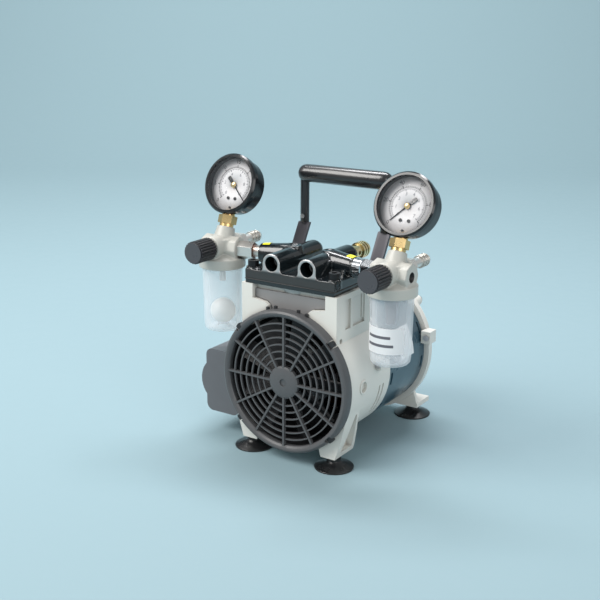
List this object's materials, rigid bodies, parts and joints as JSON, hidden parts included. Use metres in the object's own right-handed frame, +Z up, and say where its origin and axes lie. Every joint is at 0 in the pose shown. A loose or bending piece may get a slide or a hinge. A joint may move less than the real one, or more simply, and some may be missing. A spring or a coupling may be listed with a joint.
{
  "type": "piston vacuum pump",
  "caption": "Dry rocking-piston vacuum and pressure pump: fan-cooled motor, twin-port head, regulator traps with gauges, carry handle and suction feet.",
  "frame": {"origin": "on the floor under the middle of the pump's outline", "axes": "+Z up, -Y towards the fan grille and knobs, +X towards the pressure side trap"},
  "size_m": [0.237, 0.1994, 0.2672],
  "materials": {
    "casting": "warm white paint, satin",
    "dark_plastic": "grained dark grey",
    "gloss_black": "gloss black paint",
    "machined_face": "machined",
    "steel": "plain steel",
    "black_steel": "black oxide",
    "brass": "turned brass",
    "copper": "enamelled copper wire",
    "rubber": "black",
    "shell_paint": "slate blue paint",
    "grey_plate": "grey paint",
    "trap_grey": "pale grey",
    "jar_plastic": "translucent",
    "white_plastic": "white",
    "black_plastic": "black",
    "grip_black": "black satin",
    "dial_white": "white",
    "lens_glass": "clear",
    "gasket": "fibre"
  },
  "bodies": {
    "chassis": {"crankcase": "casting", "fan_grille": "dark_plastic", "air_baffle": "grey_plate", "cylinder_sleeve": "machined_face", "valve_plate": "machined_face", "valve_reeds": "steel", "head_gasket": "gasket", "cylinder_head": "gloss_black", "head_bolts": "black_steel", "shaft_bearings": "steel", "motor_shell": "shell_paint", "stator_core": "steel", "stator_windings": "copper", "rear_end_bell": "casting", "through_bolts": "steel", "lug_screws": "steel", "box_base": "dark_plastic", "box_cover": "dark_plastic", "run_capacitor": "machined_face", "cord_gland": "black_plastic", "handle_straps": "steel", "handle_grip": "grip_black", "handle_screws": "steel", "suction_feet": "rubber", "foot_studs": "steel", "relief_valve": "brass", "left_trap_head": "trap_grey", "left_adapter": "steel", "left_hose_barb": "steel", "left_gauge_case": "black_steel", "left_gauge_dial": "dial_white", "left_gauge_lens": "lens_glass", "left_gauge_stem": "brass", "left_dip_tube": "white_plastic", "right_trap_head": "trap_grey", "right_adapter": "steel", "right_hose_barb": "steel", "right_gauge_case": "black_steel", "right_gauge_dial": "dial_white", "right_gauge_lens": "lens_glass", "right_gauge_stem": "brass", "right_muffler": "trap_grey"},
    "crank": {"motor_shaft": "steel", "rotor_core": "steel", "cooling_fan": "black_plastic", "eccentric": "steel"},
    "rod": {"connecting_rod": "machined_face", "rod_bearing": "steel", "piston_cup": "black_plastic", "cup_retainer": "machined_face"},
    "power_switch": {"power_rocker": "black_plastic"},
    "left_jar_body": {"left_jar": "jar_plastic"},
    "right_jar_body": {"right_jar": "jar_plastic"},
    "left_knob_body": {"left_knob": "black_plastic"},
    "right_knob_body": {"right_knob": "black_plastic"},
    "left_spindle_body": {"left_spindle": "steel"},
    "right_spindle_body": {"right_spindle": "steel"},
    "left_pointer_body": {"left_gauge_pointer": "black_steel"},
    "right_pointer_body": {"right_gauge_pointer": "black_steel"},
    "float_body": {"left_float": "white_plastic"}
  },
  "joints": [
    {"name": "shaft_spin", "type": "hinge", "parent": "chassis", "child": "crank", "pos_m": [0, 0, 0.0765], "axis": [0, 1, 0], "continuous": true},
    {"name": "rod_pin", "type": "hinge", "parent": "crank", "child": "rod", "pos_m": [0, -0.05075, 0.0795], "axis": [0, 1, 0], "continuous": true},
    {"name": "power_rock", "type": "hinge", "parent": "chassis", "child": "power_switch", "pos_m": [-0.088, 0.03125, 0.0515], "axis": [1, 0, 0], "range_deg": [-6, 6]},
    {"name": "left_jar_turn", "type": "hinge", "parent": "chassis", "child": "left_jar_body", "pos_m": [-0.09, -0.05625, 0.165], "axis": [0, 0, 1], "range_deg": [0, 90]},
    {"name": "right_jar_turn", "type": "hinge", "parent": "chassis", "child": "right_jar_body", "pos_m": [0.09, -0.05625, 0.165], "axis": [0, 0, 1], "range_deg": [0, 90]},
    {"name": "float_lift", "type": "slide", "parent": "left_jar_body", "child": "float_body", "axis": [0, 0, 1], "range_m": [0, 0.016]},
    {"name": "left_knob_turn", "type": "hinge", "parent": "chassis", "child": "left_knob_body", "pos_m": [-0.09, -0.08925, 0.185], "axis": [0, 1, 0], "range_deg": [-360, 360]},
    {"name": "left_spindle_feed", "type": "slide", "parent": "chassis", "child": "left_spindle_body", "axis": [0, 1, 0], "range_m": [-0.00101, 0.00101]},
    {"name": "right_knob_turn", "type": "hinge", "parent": "chassis", "child": "right_knob_body", "pos_m": [0.09, -0.08925, 0.185], "axis": [0, 1, 0], "range_deg": [-360, 360]},
    {"name": "right_spindle_feed", "type": "slide", "parent": "chassis", "child": "right_spindle_body", "axis": [0, 1, 0], "range_m": [-0.00101, 0.00101]},
    {"name": "left_gauge_sweep", "type": "hinge", "parent": "chassis", "child": "left_pointer_body", "pos_m": [-0.09, -0.04436, 0.24099], "axis": [0, -0.9397, 0.342], "range_deg": [0, 270], "stiffness_Nm_per_rad": 0.0002},
    {"name": "right_gauge_sweep", "type": "hinge", "parent": "chassis", "child": "right_pointer_body", "pos_m": [0.09, -0.04129, 0.24029], "axis": [0, 0.9205, -0.3907], "range_deg": [0, 270], "stiffness_Nm_per_rad": 0.0002}
  ],
  "couplings": [
    {"joint": "rod_pin", "follows": "shaft_spin", "ratio": -1},
    {"joint": "left_spindle_feed", "follows": "left_knob_turn", "m_per_rad": 0.00015915},
    {"joint": "right_spindle_feed", "follows": "right_knob_turn", "m_per_rad": 0.00015915}
  ]
}
